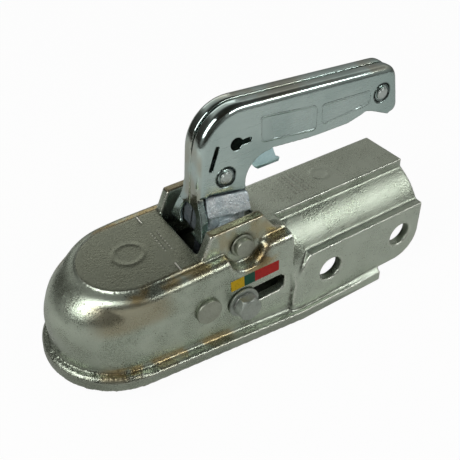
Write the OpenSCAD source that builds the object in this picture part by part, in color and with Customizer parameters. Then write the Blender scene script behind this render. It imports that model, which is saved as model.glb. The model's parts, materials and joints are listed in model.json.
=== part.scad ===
/* [Ball and socket] */
// Diameter of the tow ball that the socket takes
ball_d = 50; // [45:1:55]
// Play between the ball and the socket wall
socket_play = 0.3; // [0.2:0.05:0.6]
// How far the socket lip reaches below the ball's centre
lip_drop = 6; // [3:0.5:8]

/* [Casting] */
// Half width of the nose and of the front walls
wall_y = 34; // [33:0.5:36]
// Thickness of the front walls
wall_t = 5.5; // [4:0.5:7]
// Height of the flat top above the ball's centre
land_z = 31.6; // [31:0.1:34]
// Thickness of the roof under the flat top
roof_t = 6; // [4:0.5:6]
// Radius of the large round over the nose
dome_round = 26; // [22:1:27]
// Radius of the tighter round along the shoulders
shoulder_round = 4.5; // [3:0.5:6]
// How far the shoulders lie below the flat top
shoulder_drop = 1.4; // [0.8:0.2:2]
// Where the shoulders' own round starts behind the ball's centre
shoulder_x = 14; // [10:1:20]
// Half width of the flat top over the front part
land_y = 26; // [25:0.5:28]
// Where the nose arc of the flat top has its centre
land_x = 13.2; // [10:0.2:18]
// Rear end of the front part
front_end_x = 94; // [92:1:97]
// Rear end of the casting
rear_x = 187; // [180:1:200]

/* [Flange] */
// Half width of the bottom flange
flange_y = 40; // [39:0.5:44]
// Height of the flange's edge face
flange_h = 6.5; // [5:0.5:9]
// Height of the sloped top of the flange
flange_rise = 3.5; // [2:0.5:5]
// Height of the flat rear stretch of the flange's underside
flange_z = -32; // [-36:0.5:-30]
// Where the underside starts to rise towards the nose
kink_x = 99; // [90:1:110]
// Slope of the underside in front of that, in degrees
kink_slope = 6.9; // [4:0.1:9]
// Rear end of the flange
flange_end_x = 156; // [145:1:160]

/* [Drawbar seat] */
// Diameter of the drawbar tube
drawbar_d = 60; // [58:0.5:62]
// Play between the tube and its seat
drawbar_play = 0.25; // [0.1:0.05:0.5]
// Thickness of the seat's shell
seat_t = 6; // [5:0.5:7]
// Height of the drawbar's axis against the ball's centre
drawbar_z = -6; // [-8:0.5:-4]
// Half width of the bolting pads
pad_y = 36.5; // [36.3:0.1:38]
// Top edge of the bolting pads
pad_top_z = 12; // [10:0.5:14]
// Foremost point of the bolting pads' curved front edge
pad_x = 92; // [90:1:94]
// Radius of that curved front edge
pad_front_r = 48.5; // [40:0.5:60]
// Half width of the raised strip on top of the seat
strip_y = 15.5; // [12:0.5:18]
// Diameter of the two cross bolt holes
bolt_hole_d = 15; // [12.5:0.5:16]
// Chamfer at the mouths of the cross bolt holes
bolt_hole_chamfer = 0.8; // [0.4:0.1:1.2]
// Place of the front cross bolt hole
front_hole_x = 119; // [115:1:122]
// Distance between the two cross bolt holes
hole_pitch = 53; // [50:1:54]
// Radius of the lug round the rear hole
lug_r = 17; // [15:0.5:19]

/* [Handle opening] */
// Front edge of the opening in the top
opening_x = 43; // [42:0.5:45]
// Length of the opening
opening_l = 42; // [40:1:44]
// Half width of the opening, between the two cheeks
opening_y = 20; // [19:0.5:21]
// Height of the cheeks' top above the ball's centre
cheek_z = 44; // [40:0.5:46]
// Length of the cheeks' flat top
cheek_l = 31; // [28:1:34]
// How far the front edge of a cheek leans back
cheek_lean = 6; // [3:0.5:8]
// How far the rear edge of a cheek leans back
cheek_tail = 6; // [2:0.5:8]

/* [Indicator slot] */
// Front end of the slot in each wall
slot_x = 53; // [52:0.5:56]
// Length of the slot
slot_l = 35; // [33:0.5:36]
// Height of the slot
slot_h = 11; // [10:0.5:12]
// Corner radius of the slot
slot_r = 3.5; // [2:0.5:5]
// Height of the slot's middle against the ball's centre
slot_z = 0; // [-2:0.5:2]

/* [Label] */
// Length of the label above the slot
label_l = 30; // [26:1:32]
// Height of the label
label_h = 7; // [5:0.5:8]
// Lower edge of the label
label_z = 10; // [9:0.5:11]
// Thickness of the label
label_t = 0.3; // [0.2:0.05:0.4]
// Room left in the shallow recess at each end of the label
label_margin = 3; // [2:0.5:4]
// Depth of that recess
label_seat_t = 0.5; // [0.4:0.1:0.8]

/* [Pins] */
// Place of the handle's pivot behind the ball's centre
pivot_x = 66; // [64:0.5:68]
// Height of the handle's pivot
pivot_z = 31; // [29:0.5:32]
// Diameter of the handle's pivot pin
pivot_d = 8; // [7:0.5:9]
// Diameter of the pivot pin's head
pivot_head_d = 10.5; // [10:0.5:12]
// Radius of the round seat cut for the pivot pin's head
spot_r = 11; // [9:0.5:12]
// Place of the jaw's pin behind the ball's centre
jaw_pin_x = 39.5; // [39:0.5:42]
// Height of the jaw's pin
jaw_pin_z = 5.5; // [4:0.5:7]
// Diameter of the jaw's pin
jaw_pin_d = 10; // [8:0.5:11]
// Diameter of the jaw pin's head
jaw_head_d = 14.5; // [13:0.5:16]
// Height of the jaw pin's head
jaw_head_h = 2.2; // [1.5:0.1:3]

/* [Handle] */
// Half width of the handle
grip_y = 9; // [8.5:0.25:10]
// Sheet thickness of the two handle shells
sheet = 1.6; // [1.2:0.1:2]
// Radius of the rolled edge
roll_r = 4.3; // [3.5:0.1:5]
// Radius of the large bend
bend_r = 24; // [22:1:26]
// Centre of the large bend behind the ball's centre
bend_x = 78.6; // [77:0.2:80]
// Height of the centre of the large bend
bend_z = 75.1; // [73:0.2:77]
// Lean of the handle's front, in degrees
front_lean = 6.3; // [4:0.1:8]
// Fall of the handle's top towards its end, in degrees
top_fall = 4.4; // [3:0.1:6]
// Centre of the end corner behind the ball's centre
corner_x = 172.5; // [165:0.5:178]
// Radius of the end corner
corner_r = 9; // [7:0.5:11]
// Lean of the end edge, in degrees
end_lean = 11; // [6:0.5:13]
// Length of the end edge between its rounds
end_l = 18; // [15:0.5:20]
// Radius of the hook at the end
hook_r = 5; // [4.6:0.1:6]
// Height of the grip's underside
under_z = 66; // [64:0.5:68]
// Radius of the finger hollow behind the handle's foot
hollow_r = 15; // [13:0.5:16]

/* [Lever and mechanism] */
// Half width of the cast lever's side pads
lever_pad_y = 12.5; // [12:0.5:14]
// Half width of the lever's tongue between the shells
tongue_y = 5.6; // [5:0.1:5.8]
// Radius of the lever's hub
hub_r = 12.5; // [12:0.5:13.5]
// Half width of the lever's arm
arm_y = 7; // [6:0.5:8]
// Diameter of the indicator bolt
bolt_d = 8; // [7:0.5:9]
// Width across the flats of the bolt's head
bolt_flats = 13; // [12:0.5:14]
// Height of the bolt's head
bolt_head_h = 5.3; // [4.5:0.1:6]
// Rest place of the indicator bolt behind the ball's centre
bolt_x = 60.5; // [60:0.5:62]
// Radius of the large washer
washer_r = 9; // [8:0.5:10]
// Width of the ball jaw, to each side
jaw_y = 16; // [14:0.5:18]
// Running play beside and round the moving pieces
play = 0.4; // [0.3:0.05:0.5]
// Radial play of a pin in its hole
pin_play = 0.05; // [0.03:0.01:0.1]

/* [Hidden] */
$fn = 96;
eps = 0.01;
far = 400;
socket_r = ball_d / 2 + socket_play;
seat_r = drawbar_d / 2 + drawbar_play;
seat_out_r = seat_r + seat_t;
channel_y = wall_y - wall_t;
roof_z = land_z - roof_t;
shoulder_z = land_z - shoulder_drop;
dome_z = shoulder_z - 0.4;
rear_hole_x = front_hole_x + hole_pitch;
opening_end_x = opening_x + opening_l;
slot_end_x = slot_x + slot_l;
wall_base_z = -14;
// Straight lines of the handle's outline, as directions
front_dir = [sin(front_lean), cos(front_lean)];
front_out = [-cos(front_lean), sin(front_lean)];
top_dir = [cos(top_fall), -sin(top_fall)];
top_out = [sin(top_fall), cos(top_fall)];
end_out = [cos(end_lean), sin(end_lean)];
end_dir = [sin(end_lean), -cos(end_lean)];
bend_c = [bend_x, bend_z];
// The end corner touches the same top line as the bend
corner_c = [corner_x, bend_z + (bend_r - corner_r) * (top_out[1] + top_out[0] * tan(top_fall))
    - (corner_x - bend_x) * tan(top_fall)];
// The hook touches the same end line as the corner
hook_c = corner_c + end_dir * end_l + end_out * (corner_r - hook_r);
foot_rear_x = 80.5;
foot_front_z = 55;
foot_rear_z = 50.2;
hollow_c = [foot_rear_x + hollow_r - 0.3, 53.4];
slim = 0.05;
lap = 2.5;
hook_turn = -115;
seam = 0.1;
roll_end_z = 54;
// Place of the handle's front line at a given height
front_start = bend_c + front_out * bend_r;
function front_x(z) = front_start[0] - (front_start[1] - z) * tan(front_lean);
strip_l = 3.6;
lobe_lean = 9;
pad_bottom_y = lever_pad_y + 1.5;
socket_pin_r = 6.5;
rivet_x = 68.7;
rivet_z = 62;
rivet_r = 3;
rivet_head_r = 3.5;
dimple_r = 4.8;
dimple_t = 0.6;
end_rivet_x = 170.3;
end_rivet_z = 77.5;
rivet_play = 0.02;
keyhole_x = 75.8;
keyhole_z = 78.7;
keyhole_r = 3.4;
keyhole_w = 2.8;
keyhole_l = 9;
line_slot_w = 2.2;
line_slot_low = [60.3, 68.2];
line_slot_high = [65.2, 81];
bush_end_y = wall_y + 0.6;
washer_t = 1.2;
spring_washer_t = 1.2;
bolt_seat_y = bush_end_y + washer_t + spring_washer_t;
nut_h = 6.5;
stud_end_y = bush_end_y + washer_t + nut_h + 1;
lug_z = drawbar_z - 2;
slider_h = 8;
slider_l = 18;
bridge_l = 3;
jaw_r = socket_r + 0.1;
jaw_back_x = jaw_pin_x + 7.5;
hub_y = opening_y - play;
clip_t = 1.2;
jaw_spring_wire = 0.8;
label_x = slot_x + 1;

// A shape drawn in X and Z, given its thickness along Y
module across(y0, y1) {
    translate([0, y1, 0]) rotate([90, 0, 0]) linear_extrude(y1 - y0) children();
}

// A round bar along Y
module bar_y(x, z, r, y0, y1) {
    translate([x, y1, z]) rotate([90, 0, 0]) cylinder(r = r, h = y1 - y0);
}

module both_sides() {
    children();
    mirror([0, 1, 0]) children();
}

// Half section of a wall that rounds over to a flat top
module rounded_half(width, top, round, bottom) {
    translate([0, bottom]) square([width - round, top - bottom]);
    translate([0, bottom]) square([width, top - round - bottom]);
    translate([width - round, top - round]) circle(round);
}

module rounded_nose(width, top, round, bottom) {
    rotate([0, 0, 90]) rotate_extrude(angle = 180) intersection() {
        rounded_half(width, top, round, bottom);
        translate([0, bottom]) square([width, top - bottom]);
    }
}

module rounded_run(width, top, round, bottom, length) {
    rotate([90, 0, 90]) linear_extrude(length) {
        rounded_half(width, top, round, bottom);
        mirror([1, 0]) rounded_half(width, top, round, bottom);
    }
}

// Plan of the nose: a half round that runs on straight to x1
module nose_plan(r, x1) {
    circle(r);
    translate([0, -r]) square([x1, 2 * r]);
}

// Side view of what lies above the sloping underside, up to a cover height
module above_bottom(cover, x1) {
    rise = (kink_x + 60) * tan(kink_slope);
    polygon([[-60, flange_z + rise], [kink_x, flange_z], [x1, flange_z], [x1, cover], [-60, cover]]);
}

// Half section of the flange: an edge face, then a slope up to the wall
module flange_half(width) {
    polygon([[0, -1], [width, -1], [width, flange_h], [width - 4.5, flange_h + flange_rise], [0, flange_h + flange_rise]]);
}

// The flange follows the sloping underside in front and lies flat behind
module flange() {
    translate([kink_x, 0, flange_z]) rotate([0, kink_slope, 0]) {
        translate([-kink_x, 0, 0]) rotate([0, 0, 90]) rotate_extrude(angle = 180) flange_half(flange_y);
        translate([-kink_x, 0, 0]) rotate([90, 0, 90]) linear_extrude(kink_x + 1) {
            flange_half(flange_y);
            mirror([1, 0]) flange_half(flange_y);
        }
    }
    translate([kink_x - 1.5, 0, flange_z]) rotate([90, 0, 90]) linear_extrude(flange_end_x - kink_x + 1.5) {
        flange_half(flange_y - slim);
        mirror([1, 0]) flange_half(flange_y - slim);
    }
}

module front_walls() {
    rounded_nose(wall_y, dome_z, dome_round, wall_base_z);
    rounded_run(wall_y, dome_z, dome_round, wall_base_z, shoulder_x);
    translate([shoulder_x, 0, 0]) rounded_nose(wall_y, shoulder_z, shoulder_round, wall_base_z);
    translate([shoulder_x, 0, 0])
        rounded_run(wall_y, shoulder_z, shoulder_round, wall_base_z, front_end_x - shoulder_x);
    intersection() {
        linear_extrude(2 * far, center = true) nose_plan(wall_y, front_end_x);
        across(-far, far) above_bottom(wall_base_z + 1, front_end_x);
    }
}

// The flat top with its edge, over the nose and on to the rear of the front part
module land() {
    translate([0, 0, land_z - 8]) linear_extrude(8) {
        translate([land_x, 0]) circle(land_y);
        translate([land_x, -land_y]) square([front_end_x - land_x, 2 * land_y]);
    }
}

module cheeks() {
    both_sides() across(opening_y, land_y) polygon([
        [opening_x, land_z - 4], [opening_x, land_z], [opening_x + cheek_lean, cheek_z],
        [opening_x + cheek_lean + cheek_l, cheek_z],
        [opening_x + cheek_lean + cheek_l + cheek_tail, land_z + 3],
        [front_end_x - 2, land_z], [front_end_x - 2, land_z - 4]]);
}

// Shell over the drawbar, with its raised strip and the two bolting pads
module seat() {
    translate([front_end_x - 0.5, 0, drawbar_z]) rotate([90, 0, 90]) linear_extrude(rear_x - front_end_x + 0.5)
        intersection() {
            circle(seat_out_r);
            translate([-seat_out_r, -2]) square([2 * seat_out_r, seat_out_r + 2]);
        }
    translate([front_end_x - 6, -strip_y, 0]) cube([rear_x - front_end_x + 6, 2 * strip_y, land_z]);
    across(-pad_y, pad_y) pad_side();
}

// Side view of a bolting pad: round in front, a lug round the rear hole behind
module pad_side() {
    intersection() {
        translate([pad_x + pad_front_r, -20]) circle(pad_front_r);
        translate([pad_x, flange_z]) square([40, pad_top_z - flange_z]);
    }
    translate([pad_x + 30, flange_z]) square([flange_end_x - pad_x - 30, pad_top_z - flange_z]);
    translate([flange_end_x - 1, lug_z - lug_r]) square([rear_x - lug_r - flange_end_x + 1, 30]);
    translate([flange_end_x - 1, lug_z]) square([rear_x - flange_end_x + 1, pad_top_z - lug_z]);
    translate([rear_x - lug_r, lug_z]) circle(lug_r);
}

module socket_hollow() {
    sphere(socket_r);
    // Below the lip the mouth widens
    translate([0, 0, -lip_drop - 30])
        cylinder(r1 = socket_r + 12, r2 = sqrt(pow(socket_r, 2) - pow(lip_drop, 2)), h = 30);
    // Behind the ball's centre the hollow stays open downwards
    translate([0, -socket_r, -far / 2]) cube([opening_x, 2 * socket_r, far / 2]);
}

module mechanism_hollow() {
    translate([18, -channel_y, -far / 2]) cube([front_end_x - 18 + 4, 2 * channel_y, far / 2 + 14]);
    translate([18, -24, 0]) cube([front_end_x - 18 - 4, 48, roof_z]);
}

module drawbar_hollow() {
    translate([front_end_x + 3, 0, drawbar_z]) rotate([0, 90, 0]) cylinder(r = seat_r, h = far);
    translate([front_end_x + 3, -seat_r, -far / 2]) cube([far, 2 * seat_r, far / 2 + drawbar_z]);
}

module slot_shape() {
    for (x = [slot_x + slot_r, slot_end_x - slot_r])
        for (z = [slot_z - slot_h / 2 + slot_r, slot_z + slot_h / 2 - slot_r]) translate([x, z]) circle(slot_r);
    translate([slot_x + slot_r, slot_z - slot_h / 2]) square([slot_l - 2 * slot_r, slot_h]);
    translate([slot_x, slot_z - slot_h / 2 + slot_r]) square([slot_l, slot_h - 2 * slot_r]);
}

module bolt_hole(x) {
    bar_y(x, drawbar_z, bolt_hole_d / 2, -far, far);
    both_sides() translate([x, -pad_y - eps, drawbar_z]) rotate([-90, 0, 0])
        cylinder(r1 = bolt_hole_d / 2 + bolt_hole_chamfer + eps, r2 = bolt_hole_d / 2, h = bolt_hole_chamfer + eps);
}

// Raised ring and lines of the casting marks on the flat top
module casting_marks() {
    translate([land_x + 1.3, 0, land_z - 1]) difference() {
        cylinder(r = 8.4, h = 1.35);
        translate([0, 0, -1]) cylinder(r = 7.4, h = 4);
    }
    translate([138, 1, land_z - 1]) difference() {
        cylinder(r = 5.6, h = 1.3);
        translate([0, 0, -1]) cylinder(r = 4.8, h = 4);
    }
    both_sides() translate([30.6, -25.4, land_z - 1]) cube([0.7, 6.4, 1.35]);
}

module coupling_body() {
    color("darkkhaki") difference() {
        union() {
            front_walls();
            land();
            cheeks();
            seat();
            flange();
            casting_marks();
        }
        socket_hollow();
        mechanism_hollow();
        drawbar_hollow();
        translate([opening_x, -opening_y, 0]) cube([opening_l, 2 * opening_y, far]);
        across(-far, far) slot_shape();
        both_sides() translate([label_x + 5 - 2 * label_margin, -wall_y - eps, label_z - 0.5])
            cube([label_l + 2 * label_margin, label_seat_t + eps, label_h + 1]);
        for (x = [front_hole_x, rear_hole_x]) bolt_hole(x);
        bar_y(pivot_x, pivot_z, pivot_d / 2 + pin_play, -far, far);
        both_sides() bar_y(pivot_x, pivot_z, spot_r, -far, -land_y);
        bar_y(jaw_pin_x, jaw_pin_z, jaw_pin_d / 2 + pin_play, -far, far);
        // Everything under the sloping underside is cut away
        across(-far, far) difference() {
            translate([-far, -far]) square([2 * far, far]);
            above_bottom(far, far);
        }
    }
}

// Outline of one shell's side face, with the rolled edges left off by a given amount
module grip_outline(inset) {
    r1 = bend_r - inset;
    r3 = corner_r - inset;
    r4 = hook_r - inset;
    t1 = bend_c + front_out * r1;
    f0 = t1 - front_dir * ((t1[1] - foot_front_z) / front_dir[1]);
    hook_under = hook_c + hook_r * [cos(hook_turn), sin(hook_turn)];
    difference() {
        union() {
            translate(bend_c) circle(r1 - 0.1);
            translate(corner_c) circle(r3 - 0.1);
            polygon([f0, t1, bend_c, [foot_rear_x, 75], [foot_rear_x, foot_rear_z]]);
            polygon([bend_c, bend_c + top_out * r1, corner_c + top_out * r3, corner_c,
                corner_c + end_out * r3, hook_c + end_out * r4, hook_c, hook_under, [164.4, under_z + 1.6],
                [160, under_z + 2.9], [147, under_z], [122, under_z + 0.4], [101, under_z + 2.6],
                [94, under_z + 3.6], [foot_rear_x - 4, under_z + 3.6]]);
        }
        translate(hollow_c) circle(hollow_r);
    }
}

// Section of the rolled edge: the side face turns inwards and runs on to the seam
module roll_section(thin) {
    r = roll_r - thin;
    w = sheet - 2 * thin;
    difference() {
        union() {
            translate([-1.5, thin - grip_y]) square([1.6, w]);
            intersection() {
                translate([0, roll_r - grip_y]) circle(r);
                translate([0, -grip_y]) square([roll_r, roll_r]);
            }
            translate([r - w, roll_r - grip_y - 0.1]) square([w, grip_y - roll_r - seam + 0.1 - thin]);
        }
        translate([0, roll_r - grip_y]) intersection() {
            circle(r - w);
            translate([0, -roll_r]) square(2 * roll_r);
        }
    }
}

// The rolled edge along a straight stretch that faces the given way
module roll_run(start, out, length) {
    translate([start[0], 0, start[1]]) rotate([0, -out, 0]) linear_extrude(length) roll_section(0);
}

// The rolled edge round a corner; its ends lap into the straight stretches
module roll_turn(centre, radius, from, to) {
    translate([centre[0], 0, centre[1]]) rotate([-90, 0, 0]) rotate([0, 0, -to - lap])
        rotate_extrude(angle = to - from + 2 * lap) intersection() {
            translate([radius - roll_r, 0]) roll_section(slim);
            translate([0.05, -2 * grip_y]) square([2 * radius, 2 * grip_y]);
        }
}

module rolled_edges() {
    front_out_deg = 180 - front_lean;
    top_out_deg = 90 - top_fall;
    t1 = bend_c + front_out * (bend_r - roll_r);
    t3 = corner_c + top_out * (corner_r - roll_r);
    t4 = hook_c + end_out * (hook_r - roll_r);
    roll_run(t1, front_out_deg, (t1[1] - roll_end_z) / front_dir[1]);
    roll_turn(bend_c, bend_r, top_out_deg, front_out_deg);
    roll_run(t3, top_out_deg, norm(t3 - bend_c - top_out * (bend_r - roll_r)));
    roll_turn(corner_c, corner_r, end_lean, top_out_deg);
    roll_run(t4, end_lean, end_l);
    roll_turn(hook_c, hook_r, hook_turn, end_lean);
}

// Outer edge of the apron on one side: width against distance below the bend
function apron_edge_line(inset) = [[grip_y - 2.2 - inset, -19], [grip_y - 1.4 - inset, -23.5], [grip_y - inset, -27.5],
    [11.2 - inset, -31.5], [13.4 - inset, -36], [15.2 - inset, -40.5], [16.2 - inset, -44.2]];

// Half of the apron's front face
module apron_half() {
    difference() {
        polygon(concat([[seam, -19]], apron_edge_line(0),
            [[15.6, -45.8], [14, -46.6], [11, -46.2], [5.4, -45.2], [seam, -45]]));
        translate([0, -38.6]) circle(7.8);
        translate([-1, -60]) square([6.2, 20]);
    }
}

// The strip along its outer edge, which turns back
module apron_strip() {
    polygon(concat(apron_edge_line(0), [for (i = [6 : -1 : 0]) apron_edge_line(sheet)[i]]));
}

// The upper part follows the handle's front; the lobes below lean forward
module apron() {
    t1 = bend_c + front_out * bend_r;
    knee = -32.5;
    translate([t1[0], 0, t1[1]]) rotate([0, front_lean, 0]) rotate([90, 0, 90]) mirror([1, 0, 0]) {
        translate([0, 0, slim]) linear_extrude(sheet) intersection() {
            apron_half();
            translate([-1, knee]) square([30, 40]);
        }
        translate([0, 0, slim]) linear_extrude(strip_l) intersection() {
            apron_strip();
            translate([-1, knee - 4]) square([30, 40]);
        }
        translate([0, knee, slim]) rotate([lobe_lean, 0, 0]) translate([0, -knee, 0]) {
            linear_extrude(sheet) intersection() {
                apron_half();
                translate([-1, knee - 40 + 0.3]) square([30, 40]);
            }
            linear_extrude(4.2) intersection() {
                apron_strip();
                translate([-1, knee - 40 + 0.3]) square([30, 40]);
            }
        }
    }
}

module keyhole() {
    translate([keyhole_x, keyhole_z]) {
        circle(keyhole_r);
        translate([0, -keyhole_w / 2]) square([keyhole_l - keyhole_w / 2, keyhole_w]);
        translate([keyhole_l - keyhole_w / 2, 0]) circle(keyhole_w / 2);
    }
}

module line_slot() {
    lean = atan2(line_slot_high[0] - line_slot_low[0], line_slot_high[1] - line_slot_low[1]);
    translate(line_slot_low) rotate(-lean)
        translate([-line_slot_w / 2, 0]) square([line_slot_w, norm(line_slot_high - line_slot_low)]);
}

// The two shallow panels pressed into each side
module panels() {
    polygon([[97.5, 74.5], [104, 72.6], [124.4, 70.6], [122.4, 85.6], [95.5, 87.4]]);
    polygon([[128.6, 71.6], [147, 71.2], [157, 74.6], [163, 75.4], [163.6, 79.6], [161, 82.4], [127.4, 85]]);
}

module handle_shell() {
    difference() {
        union() {
            across(-grip_y + slim / 2, -grip_y + sheet - slim / 2) grip_outline(roll_r + 0.6);
            rolled_edges();
            apron();
        }
        across(-grip_y - eps, -grip_y + 0.25) panels();
        across(-far, far) keyhole();
        across(-far, far) line_slot();
        for (p = [[rivet_x, rivet_z], [end_rivet_x, end_rivet_z]]) {
            bar_y(p[0], p[1], rivet_r + rivet_play, -far, far);
            bar_y(p[0], p[1], dimple_r, -far, -grip_y + dimple_t);
        }
    }
}

module handle_shell_left() {
    color("lightsteelblue") handle_shell();
}

module handle_shell_right() {
    color("lightsteelblue") mirror([0, 1, 0]) handle_shell();
}

// Side view of the lever's arm, with a fork round the bolt at its end
module arm_side() {
    dx = bolt_x - pivot_x;
    lean = atan2(dx, pivot_z - slot_z);
    translate([pivot_x, pivot_z]) rotate(lean) difference() {
        translate([-8, -38]) square([16, 38]);
        translate([-bolt_d / 2 - 1, -60]) square([bolt_d + 2, 34]);
        translate([0, -26]) circle(bolt_d / 2 + 1);
    }
}

// Side view of the pads below the shells' lower edge
module lever_pad_side() {
    pad_front = strip_l + 2 * play;
    polygon([[front_x(foot_front_z) + pad_front, foot_front_z - 1], [front_x(43.3) + pad_front, 43.3],
        [foot_rear_x - 0.3, 39.6], [foot_rear_x + 0.1, foot_rear_z - 0.6]]);
}

// Their section across: they splay out from the shells' edge downwards
module lever_pad_section() {
    half = [[0, 57], [grip_y - 0.4, 57], [grip_y - 0.1, 54], [pad_bottom_y, 41], [pad_bottom_y, 36], [0, 36]];
    polygon(half);
    mirror([1, 0]) polygon(half);
}

module lock_lever() {
    color("slategray") difference() {
        union() {
            // Tongue between the two shells
            across(-tongue_y, tongue_y) {
                translate([rivet_x, rivet_z]) circle(7);
                polygon([[front_x(45) + 8.9, 45], [foot_rear_x - 0.5, 44], [rivet_x + 6.9, rivet_z], [rivet_x - 6.8, rivet_z + 1.5]]);
            }
            intersection() {
                across(-far, far) lever_pad_side();
                translate([40, 0, 0]) rotate([90, 0, 90]) linear_extrude(60) lever_pad_section();
            }
            // Front panel behind the apron, in two halves with a slit between
            both_sides() across(0.35, grip_y - 0.6) polygon([[front_x(47.2) + 2.25, 47.2], [front_x(36) + 1.1, 36],
                [front_x(33.4) + 0.8, 33.4], [pivot_x - 4, 33], [pivot_x - 4, 46]]);
            across(-lever_pad_y + 1.8, lever_pad_y - 1.8) polygon([[front_x(47) + 4.3, 47], [front_x(31) + 6.8, 31],
                [pivot_x + 10, 31], [foot_rear_x - 0.9, 40.4]]);
            bar_y(pivot_x, pivot_z, hub_r, -lever_pad_y + 1.8, lever_pad_y - 1.8);
            bar_y(pivot_x, pivot_z, socket_pin_r, -hub_y, hub_y);
            across(-arm_y, arm_y) arm_side();
        }
        bar_y(pivot_x, pivot_z, pivot_d / 2 + pin_play, -far, far);
        bar_y(rivet_x, rivet_z, rivet_r + rivet_play, -far, far);
    }
}

module rivet(x, z) {
    bar_y(x, z, rivet_r, -grip_y + dimple_t - 0.2, grip_y - dimple_t + 0.2);
    both_sides() {
        bar_y(x, z, rivet_head_r, -grip_y - 0.5, -grip_y + dimple_t);
        bar_y(x, z, rivet_head_r - 0.7, -grip_y - 0.9, -grip_y);
    }
}

module lever_rivet() {
    color("silver") rivet(rivet_x, rivet_z);
}

module end_rivet() {
    color("silver") rivet(end_rivet_x, end_rivet_z);
}

module end_spacer() {
    y = grip_y - sheet;
    color("gray") difference() {
        bar_y(end_rivet_x, end_rivet_z, rivet_r + 1.8, -y, y);
        bar_y(end_rivet_x, end_rivet_z, rivet_r + rivet_play, -far, far);
    }
}

// Section across the trigger's trough
module trough_section(inset) {
    w = grip_y - sheet - 0.3 - inset;
    z0 = 55.8 + inset;
    polygon([[-w, 80], [-w, z0 + 4.4], [-w + 1, z0 + 1.6], [-w + 3, z0], [w - 3, z0], [w - 1, z0 + 1.6], [w, z0 + 4.4], [w, 80]]);
}

module safety_trigger() {
    wall = grip_y - sheet - 0.3 - tongue_y - play;
    color("powderblue") difference() {
        intersection() {
            across(-far, far) polygon(concat([[84, 73], [97.6, 71.2], [99.4, 65], [100.6, 61.6], [103, 60.2], [103, 55.8],
                [91, 56.2], [87.4, 59.6], [84.6, 64]],
                [for (a = [-80 : -10 : -280]) [rivet_x + 5.5 * cos(a), rivet_z + 5.5 * sin(a)]]));
            difference() {
                translate([40, 0, 0]) rotate([90, 0, 90]) linear_extrude(80) trough_section(0);
                translate([40, 0, 0]) rotate([90, 0, 90]) linear_extrude(80) trough_section(wall);
            }
        }
        bar_y(rivet_x, rivet_z, rivet_r + pin_play, -far, far);
        // Room for the lever's tongue
        translate([rivet_x - 10, -tongue_y - play, 40]) cube([foot_rear_x - rivet_x + 13.5, 2 * (tongue_y + play), 40]);
    }
}

module handle_pivot_pin() {
    color("dimgray") difference() {
        union() {
            bar_y(pivot_x, pivot_z, pivot_d / 2, -land_y - 2, land_y + 3.6);
            bar_y(pivot_x, pivot_z, pivot_head_d / 2, -land_y - 4.2, -land_y - 1);
        }
        difference() {
            bar_y(pivot_x, pivot_z, far, land_y + 1, land_y + 1 + clip_t);
            bar_y(pivot_x, pivot_z, pivot_d / 2 - 0.8, 0, far);
        }
    }
}

module pivot_washer() {
    color("gray") difference() {
        bar_y(pivot_x, pivot_z, pivot_head_d / 2 + 1.3, -land_y - 1, -land_y);
        bar_y(pivot_x, pivot_z, pivot_d / 2 + pin_play, -far, far);
    }
}

// Retaining ring that sits in a pin's groove, open to one side
module retaining_ring(x, z, pin_r, y0) {
    difference() {
        bar_y(x, z, pin_r + 2.6, y0, y0 + clip_t);
        bar_y(x, z, pin_r - 0.8 + 0.02, -far, far);
        translate([x - pin_r * 0.55, -far, z - far]) cube([pin_r * 1.1, 2 * far, far]);
    }
}

module pivot_clip() {
    color("gray") retaining_ring(pivot_x, pivot_z, pivot_d / 2, land_y + 1);
}

module ball_jaw() {
    color("gray") difference() {
        union() {
            across(-jaw_y, jaw_y) {
                translate([jaw_pin_x, jaw_pin_z]) circle(jaw_back_x - jaw_pin_x);
                polygon([[19, -17], [22.5, -19.2], [30, -18], [39, -11], [jaw_back_x, -5],
                    [jaw_back_x, jaw_pin_z], [36, 15.5], [30, 15.5], [18, 8]]);
            }
            bar_y(jaw_pin_x, jaw_pin_z, jaw_back_x - jaw_pin_x, -channel_y + play, 0);
        }
        sphere(jaw_r);
        bar_y(jaw_pin_x, jaw_pin_z, jaw_pin_d / 2 + pin_play, -far, far);
    }
}

module jaw_pin() {
    color("dimgray") difference() {
        union() {
            bar_y(jaw_pin_x, jaw_pin_z, jaw_pin_d / 2, -wall_y - 1, wall_y + 4.2);
            bar_y(jaw_pin_x, jaw_pin_z, jaw_head_d / 2, -wall_y - jaw_head_h, -wall_y);
        }
        difference() {
            bar_y(jaw_pin_x, jaw_pin_z, far, wall_y + 1.6, wall_y + 1.6 + clip_t);
            bar_y(jaw_pin_x, jaw_pin_z, jaw_pin_d / 2 - 0.8, 0, far);
        }
    }
}

module jaw_pin_washer() {
    color("gray") difference() {
        bar_y(jaw_pin_x, jaw_pin_z, jaw_pin_d / 2 + 4, wall_y, wall_y + 1.6);
        bar_y(jaw_pin_x, jaw_pin_z, jaw_pin_d / 2 + pin_play, -far, far);
    }
}

module jaw_pin_clip() {
    color("gray") retaining_ring(jaw_pin_x, jaw_pin_z, jaw_pin_d / 2, wall_y + 1.6);
}

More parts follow.
